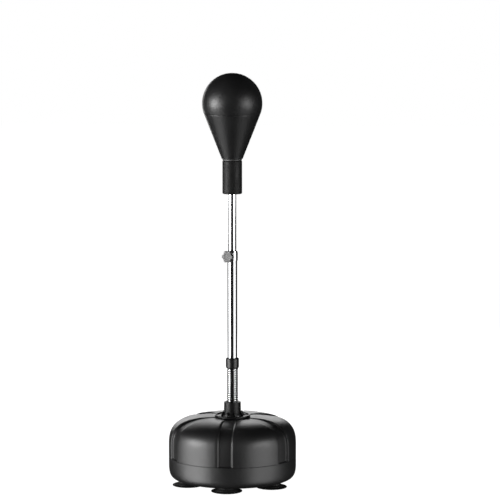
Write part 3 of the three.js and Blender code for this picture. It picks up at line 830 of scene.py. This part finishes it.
bored(collar, lying_rod("grub_hole", [
    (0, 10 * mm), (GRUB_BORE, 10 * mm), (GRUB_BORE, 30 * mm), (0, 30 * mm)], black_plastic, screw_height))
smoothed(collar.data)
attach(collar, "lower_pole")
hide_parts("spring_collar")

grub = lying_rod("collar_grub_screw", softened([
    (0, screw_low.y), (2.2 * mm, screw_low.y, 0.3 * mm), (2.2 * mm, screw_high.y, 0.4 * mm),
    (1.2 * mm, screw_high.y, 0.2 * mm), (1.1 * mm, screw_high.y - 2 * mm), (0, screw_high.y - 2 * mm)]),
    black_steel, screw_height)
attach(grub, "lower_pole")
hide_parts("collar_screw")


# --- Lower tube -----------------------------------------------------------------------------------
# Thirty-millimetre steel tube, chrome plated, with deburred ends. The upper tube telescopes into it
# on a nylon bush.

tube_low, tube_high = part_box("lower_tube")
LOWER_BORE = 13.5 * mm
tube_chrome = chrome_plate("tube_chrome", 0.09, (1, 1, 0.02))

lower_tube = turned("lower_pole_tube", softened([
    (LOWER_BORE, tube_low.z, 0.3 * mm), (TUBE_RADIUS, tube_low.z, 0.4 * mm),
    (TUBE_RADIUS, tube_high.z, 0.4 * mm), (LOWER_BORE, tube_high.z, 0.3 * mm)]), tube_chrome, 128)
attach(lower_tube, "lower_pole")
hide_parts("lower_tube")


# --- Clamp ----------------------------------------------------------------------------------------
# A chromed ring on top of the lower tube, with a nut brazed to its side. A star knob on a threaded
# stud presses a nylon tip through the nut against the upper tube.

ring_low, ring_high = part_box("clamp_ring")
RING_RADIUS = 16.9 * mm
RING_END_RADIUS = 16.0 * mm
RING_SEAT = 701.8 * mm
UPPER_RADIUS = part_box("upper_tube")[1].x
KNOB_ROUND_POLE = -19.0
SCREW_HEIGHT = 710 * mm
STUD_RADIUS = 3 * mm
STUD_PITCH = 1 * mm
STUD_NEAR = 15.4 * mm
STUD_FAR = 32 * mm
THREAD_DEPTH = 0.35 * mm
NUT_NEAR = 15.5 * mm
NUT_FAR = 23.4 * mm
NUT_RADIUS = 7 * mm
KNOB_BACK = 26 * mm
KNOB_FACE = 37 * mm
KNOB_LOBES = 6
KNOB_RADIUS = 19.2 * mm
LOBE_RADIUS = 5.4 * mm
KNOB_BODY_RADIUS = 16.0 * mm
KNOB_STEM = 8.5 * mm
KNOB_CENTRE = 9.0 * mm
LOBE_EASING = 16


def screw_hole(near, far):
    """What the clamp's screw passes through, between two distances from the pole."""
    bore = STUD_RADIUS + 0.15 * mm
    return lying_rod("screw_hole", [(0, near), (bore, near), (bore, far), (0, far)],
                     tube_chrome, SCREW_HEIGHT, 0.0, KNOB_ROUND_POLE, 48)


ring = turned("clamp_ring_turned", softened([
    (TUBE_RADIUS + 0.15 * mm, ring_low.z), (RING_END_RADIUS, ring_low.z, 0.6 * mm),
    (RING_RADIUS, ring_low.z + 5 * mm, 3 * mm), (RING_RADIUS, ring_high.z - 7 * mm, 3 * mm),
    (RING_END_RADIUS - 0.4 * mm, ring_high.z - 1.4 * mm, 1.2 * mm),
    (UPPER_RADIUS + 0.9 * mm, ring_high.z, 0.6 * mm),
    (UPPER_RADIUS + 0.15 * mm, ring_high.z - 0.5 * mm), (UPPER_RADIUS + 0.15 * mm, RING_SEAT),
    (TUBE_RADIUS + 0.15 * mm, RING_SEAT)]), tube_chrome, 128)
bored(ring, screw_hole(11 * mm, 18 * mm))
smoothed(ring.data)
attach(ring, "lower_pole")
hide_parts("clamp_ring")

nut = lying_rod("clamp_hex_nut", [
    (0, NUT_NEAR), (NUT_RADIUS, NUT_NEAR), (NUT_RADIUS, NUT_FAR), (0, NUT_FAR)],
    tube_chrome, SCREW_HEIGHT, 0.0, KNOB_ROUND_POLE, 6)
round_nut = nut.modifiers.new("round_edges", "BEVEL")
round_nut.width = 0.5 * mm
round_nut.segments = 3
plain_copy(nut)
bored(nut, screw_hole(10 * mm, 30 * mm))
smoothed(nut.data, 25.0)
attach(nut, "lower_pole")
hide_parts("clamp_nut")


def threaded_stud(name, radius, pitch, near, far, material):
    """A screw's core with its thread wound round it, along an upright axis from near to far."""
    tree = Growth(name, **{"Radius": radius, "Pitch": pitch, "Near": near, "Length": far - near})
    sizes = tree.sizes
    core = tree.add("GeometryNodeMeshCylinder", {
        "Vertices": 32, "Radius": tree.maths("SUBTRACT", sizes["Radius"], THREAD_DEPTH),
        "Depth": sizes["Length"]})["Mesh"]
    lifted = tree.add("GeometryNodeTransform", {"Geometry": core, "Translation": tree.vector(
        z=tree.maths("ADD", sizes["Near"], tree.maths("MULTIPLY", sizes["Length"], 0.5)))})["Geometry"]
    line = tree.add("GeometryNodeCurveSpiral", {
        "Resolution": 32, "Rotations": tree.maths("DIVIDE", sizes["Length"], sizes["Pitch"]),
        "Start Radius": tree.maths("SUBTRACT", sizes["Radius"], THREAD_DEPTH),
        "End Radius": tree.maths("SUBTRACT", sizes["Radius"], THREAD_DEPTH),
        "Height": sizes["Length"], "Reverse": False})["Curve"]
    crest = tree.add("GeometryNodeCurvePrimitiveCircle", {"Resolution": 6, "Radius": THREAD_DEPTH})["Curve"]
    thread = tree.add("GeometryNodeCurveToMesh",
                      {"Curve": line, "Profile Curve": crest, "Fill Caps": True})["Mesh"]
    wound = tree.add("GeometryNodeTransform",
                     {"Geometry": thread, "Translation": tree.vector(z=sizes["Near"])})["Geometry"]
    return turned_outwards(tree.grown(name, tree.joined(lifted, wound), material))


def laid_out(obj, height, round_pole):
    """Lays a shape made along an upright axis on its side, so that the axis points out from the pole."""
    obj.data.transform(Matrix.Rotation(radians(round_pole), 4, "Z") @ Matrix.Translation((0, 0, height))
                       @ Matrix.Rotation(pi / 2, 4, "X"))
    return obj


stud = laid_out(threaded_stud("clamp_threaded_stud", STUD_RADIUS, STUD_PITCH, STUD_NEAR, STUD_FAR, zinc),
                SCREW_HEIGHT, KNOB_ROUND_POLE)
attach(stud, "clamp_knob")
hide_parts("clamp_stud")


def lobed_radius(turn):
    """The knob's outline: a round body with lobes, eased where they meet."""
    ring_radius = KNOB_RADIUS - LOBE_RADIUS
    off = abs((turn + pi / KNOB_LOBES) % (2 * pi / KNOB_LOBES) - pi / KNOB_LOBES)
    across = LOBE_RADIUS ** 2 - (ring_radius * sin(off)) ** 2
    lobe = ring_radius * cos(off) + sqrt(across) if across > 0 else 0.0
    outer = max(lobe, KNOB_BODY_RADIUS)
    share = (lobe / outer) ** LOBE_EASING + (KNOB_BODY_RADIUS / outer) ** LOBE_EASING
    return outer * share ** (1 / LOBE_EASING)


def star_knob(material):
    """A moulded star knob with rounded edges, a shallow dished face and a short stem behind."""
    outline = softened([
        (-KNOB_RADIUS, KNOB_BACK), (KNOB_STEM - KNOB_RADIUS, KNOB_BACK - 2 * mm, 0.5 * mm),
        (KNOB_STEM - KNOB_RADIUS, KNOB_BACK, 0.6 * mm), (0, KNOB_BACK, 2.0 * mm), (0, KNOB_FACE, 2.0 * mm),
        (KNOB_CENTRE - KNOB_RADIUS, KNOB_FACE, 0.5 * mm),
        (KNOB_CENTRE - 0.6 * mm - KNOB_RADIUS, KNOB_FACE - 0.7 * mm, 0.5 * mm),
        (-KNOB_RADIUS, KNOB_FACE - 0.7 * mm)])
    segments = 240
    vertices = []
    for inset, height in outline[1:-1]:
        for k in range(segments):
            turn = 2 * pi * k / segments
            round_share = eased(-inset, 0.4 * KNOB_RADIUS, 0.5 * KNOB_RADIUS)
            lobed = lobed_radius(turn) + inset
            radius = lobed + (KNOB_RADIUS + inset - lobed) * round_share
            radius = max(radius, 0.2 * mm)
            vertices.append((radius * cos(turn), radius * sin(turn), height))
    rows = len(outline) - 2
    faces = [(i * segments + k, i * segments + (k + 1) % segments,
              (i + 1) * segments + (k + 1) % segments, (i + 1) * segments + k)
             for i in range(rows - 1) for k in range(segments)]
    faces.append(tuple(range(segments))[::-1])
    faces.append(tuple(range((rows - 1) * segments, rows * segments)))
    return piece("star_knob_moulding", vertices, faces, material)


knob = laid_out(star_knob(black_plastic), SCREW_HEIGHT, KNOB_ROUND_POLE)
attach(knob, "clamp_knob")
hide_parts("star_knob")


def natural_nylon():
    """Milky nylon, slightly translucent at its edges."""
    finish = Finish("natural_nylon", (0.70, 0.69, 0.63), 0.45)
    finish.shader.inputs["Subsurface Weight"].default_value = 0.3
    finish.shader.inputs["Subsurface Scale"].default_value = 0.002
    finish.wear("Roughness", finish.between(finish.noise(80.0, 3.0), 0.38, 0.52, 0.3, 0.7))
    finish.relief((finish.noise(1000.0, 2.0), 0.00001))
    return finish.material


nylon = natural_nylon()
give_finish(nylon, "clamp_pad", "guide_bush")


# --- Upper tube -----------------------------------------------------------------------------------
# Twenty-five-millimetre chromed steel tube. It slides and turns in the lower tube until the clamp
# holds it, and carries the ball on its top end.

upper_low, upper_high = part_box("upper_tube")
UPPER_BORE = 11.3 * mm
upper_tube = turned("upper_pole_tube", softened([
    (UPPER_BORE, upper_low.z, 0.3 * mm), (UPPER_RADIUS, upper_low.z, 0.4 * mm),
    (UPPER_RADIUS, upper_high.z, 0.4 * mm), (UPPER_BORE, upper_high.z, 0.3 * mm)]), tube_chrome, 128)
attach(upper_tube, "upper_pole")
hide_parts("upper_tube")


# --- Sleeve ---------------------------------------------------------------------------------------
# A thick sleeve of dense black foam rubber pushed over the tube under the ball, with a thin rubber
# washer between the two.

sleeve_low, sleeve_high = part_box("ball_sleeve")
SLEEVE_RADIUS = sleeve_high.x
SLEEVE_BORE = UPPER_RADIUS + 0.15 * mm
washer_low, washer_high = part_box("neck_washer")


def foam_rubber():
    """Closed-cell foam with a moulded skin: dark, nearly matt, and finely pored."""
    finish = Finish("foam_rubber", (0.004, 0.004, 0.004), 0.55)
    finish.shader.inputs["Specular IOR Level"].default_value = 0.08
    patches = finish.noise(40.0, 3.0)
    finish.wear("Roughness", finish.between(patches, 0.44, 0.58, 0.3, 0.7))
    cells = finish.add("TexVoronoi", {"Vector": finish.place, "Scale": 900.0}).outputs["Distance"]
    finish.relief((cells, 0.00006), (finish.noise(120.0, 2.0), 0.0001))
    return finish.material


foam = foam_rubber()
sleeve = turned("ball_sleeve_foam", softened([
    (SLEEVE_BORE, sleeve_low.z, 0.8 * mm), (SLEEVE_RADIUS, sleeve_low.z, 3.2 * mm),
    (SLEEVE_RADIUS, sleeve_low.z + 50 * mm), (SLEEVE_RADIUS, sleeve_high.z, 3.2 * mm),
    (SLEEVE_BORE, sleeve_high.z, 0.8 * mm)], 8), foam, 128)
washer = turned("neck_rubber_washer", softened([
    (SLEEVE_BORE, washer_low.z), (washer_high.x, washer_low.z, 1.0 * mm),
    (washer_high.x, washer_high.z, 1.0 * mm), (SLEEVE_BORE, washer_high.z)]), black_rubber, 128)
for rubber_piece, node in ((sleeve, "ball_sleeve"), (washer, "neck_washer")):
    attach(rubber_piece, "upper_pole")
    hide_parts(node)


# --- Ball -----------------------------------------------------------------------------------------
# A teardrop skin of smooth black synthetic leather over an air bladder. Its round top and its cone
# meet at one welded seam; the neck's lip is turned in and clamped on the tube from inside.

skin_low, skin_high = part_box("ball_skin")
BALL_RADIUS = skin_high.x
BALL_CENTRE = skin_high.z - BALL_RADIUS
BALL_CONE = radians(21.6)
SKIN = 3 * mm
LIP = 3 * mm
SEAM_DEPTH = 0.7 * mm
SEAM_HALF_WIDTH = 1.6 * mm


def teardrop_outline():
    """From the neck's foot up the cone, over the tangent seam and round to the crown."""
    seam_height = BALL_CENTRE - BALL_RADIUS * sin(BALL_CONE)
    seam_radius = BALL_RADIUS * cos(BALL_CONE)
    steps = 60
    cone = [(seam_radius - (seam_height - z) * tan(BALL_CONE), z)
            for z in np.linspace(skin_low.z + LIP, seam_height, steps)[:-1]]
    ball = []
    for k in range(steps + 1):
        turn = -BALL_CONE + (pi / 2 + BALL_CONE) * k / steps
        ball.append((BALL_RADIUS * cos(turn), BALL_CENTRE + BALL_RADIUS * sin(turn)))
    near_seam = [seam_height + step * mm for step in (-2.4, -1.6, -1.0, -0.5, 0.5, 1.0, 1.6, 2.4)]
    extra = []
    for z in near_seam:
        drop = seam_height - z
        on_ball = sqrt(BALL_RADIUS ** 2 - (z - BALL_CENTRE) ** 2)
        radius = seam_radius - drop * tan(BALL_CONE) if drop > 0 else on_ball
        extra.append((radius, z))
    outline = sorted(cone + ball[:-1] + extra, key=lambda point: point[1]) + [(0.0, ball[-1][1])]
    return [(max(r - SEAM_DEPTH * (1 - eased(abs(z - seam_height), 0, SEAM_HALF_WIDTH)), 0.0), z)
            for r, z in outline]


def synthetic_leather():
    """Polyurethane leather: a fine creased grain under a soft factory gloss."""
    finish = Finish("black_leather", (0.004, 0.004, 0.004), 0.36)
    patches = finish.noise(18.0, 4.0)
    finish.wear("Base Color", finish.blended(patches, (0.003, 0.003, 0.003), (0.006, 0.006, 0.0062)))
    finish.wear("Roughness", finish.between(patches, 0.30, 0.39, 0.3, 0.7))
    finish.shader.inputs["Specular IOR Level"].default_value = 0.15
    finish.shader.inputs["Coat Weight"].default_value = 0.03
    finish.shader.inputs["Coat Roughness"].default_value = 0.25
    grain = finish.add("TexVoronoi", {"Vector": finish.place, "Scale": 700.0}, feature="DISTANCE_TO_EDGE")
    creases = finish.between(grain.outputs["Distance"], 0.0, 1.0, 0.0, 0.12)
    finish.relief((creases, 0.00005), (finish.noise(90.0, 3.0), 0.00015))
    return finish.material


leather = synthetic_leather()
outside = teardrop_outline()
neck_radius = outside[0][0]
CONE_SKIN = SKIN / cos(BALL_CONE)
inside = [(BALL_RADIUS * 0.5 - SKIN, BALL_CENTRE + BALL_RADIUS * 0.866 - SKIN / 2),
          (BALL_RADIUS - SKIN, BALL_CENTRE), (neck_radius + 8 * mm - CONE_SKIN, skin_low.z + 23 * mm),
          (neck_radius - CONE_SKIN, skin_low.z + SKIN), (SLEEVE_BORE, skin_low.z + SKIN)]
lip = [(SLEEVE_BORE, skin_low.z), (neck_radius - LIP, skin_low.z)]
lip += [(neck_radius - LIP * (1 - sin(pi / 2 * k / 8)), skin_low.z + LIP * (1 - cos(pi / 2 * k / 8)))
        for k in range(1, 8)]
crown = [(0.0, BALL_CENTRE + BALL_RADIUS - SKIN)]
ball = turned("teardrop_skin", crown + inside + lip + outside, leather, 192)
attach(ball, "upper_pole")
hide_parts("ball_skin")

valve_low, valve_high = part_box("air_valve")
valve = lying_rod("rubber_valve", softened([
    (0, valve_low.y), (2.8 * mm, valve_low.y, 0.5 * mm), (2.8 * mm, valve_high.y - 1.2 * mm),
    (4.6 * mm, valve_high.y - 0.9 * mm, 0.5 * mm), (4.2 * mm, valve_high.y + 0.4 * mm, 0.5 * mm),
    (1.2 * mm, valve_high.y + 0.7 * mm, 0.3 * mm), (0.5 * mm, valve_high.y - 2 * mm),
    (0, valve_high.y - 2 * mm)]), black_rubber, BALL_CENTRE)
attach(valve, "upper_pole")
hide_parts("air_valve")

give_finish(black_rubber, "bladder")
give_finish(zinc, "neck_disc", "neck_nut")
give_finish(black_plastic, "tube_cap")
